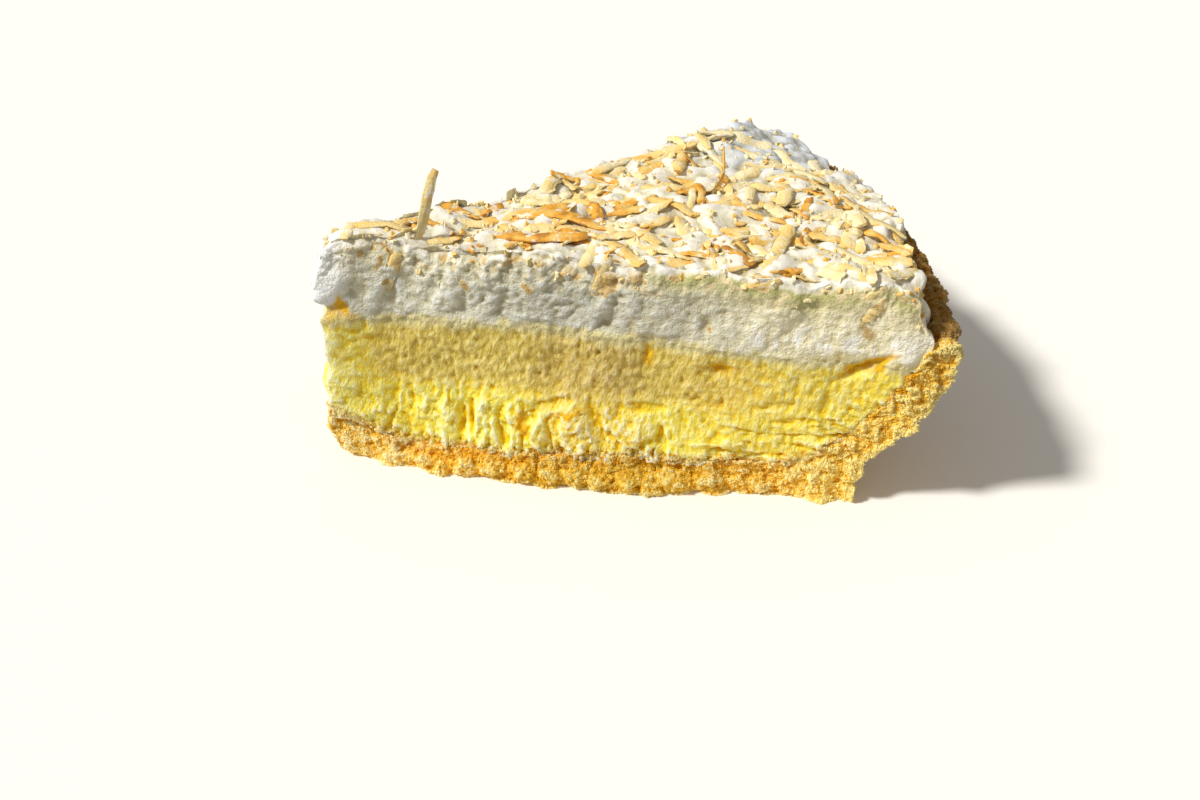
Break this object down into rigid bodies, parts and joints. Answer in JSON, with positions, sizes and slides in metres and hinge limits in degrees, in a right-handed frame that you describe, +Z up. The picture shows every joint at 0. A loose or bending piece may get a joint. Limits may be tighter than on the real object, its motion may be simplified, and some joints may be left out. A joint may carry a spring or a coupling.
{
  "type": "slice of coconut cream pie",
  "caption": "Wedge of cream pie on a crumb crust: torn yellow custard under whipped cream, strewn with toasted coconut shreds.",
  "frame": {"origin": "bottom centre of the slice's bounding box, on the surface it rests on", "axes": "+X along the slice's middle line from its tip to its rim, +Y towards the cut away from the camera, +Z up"},
  "size_m": [0.1116, 0.0845, 0.0579],
  "materials": {
    "crumb_crust": "golden packed crumbs, dry and rough",
    "custard_filling": "pale yellow set custard, moist, torn and porous",
    "whipped_cream": "soft white whipped cream, satin",
    "toasted_coconut": "pale to orange-brown toasted shreds, dry"
  },
  "bodies": {
    "root": {"crumb_crust": "crumb_crust", "custard_filling": "custard_filling", "coconut_cream": "whipped_cream"}
  },
  "joints": []
}
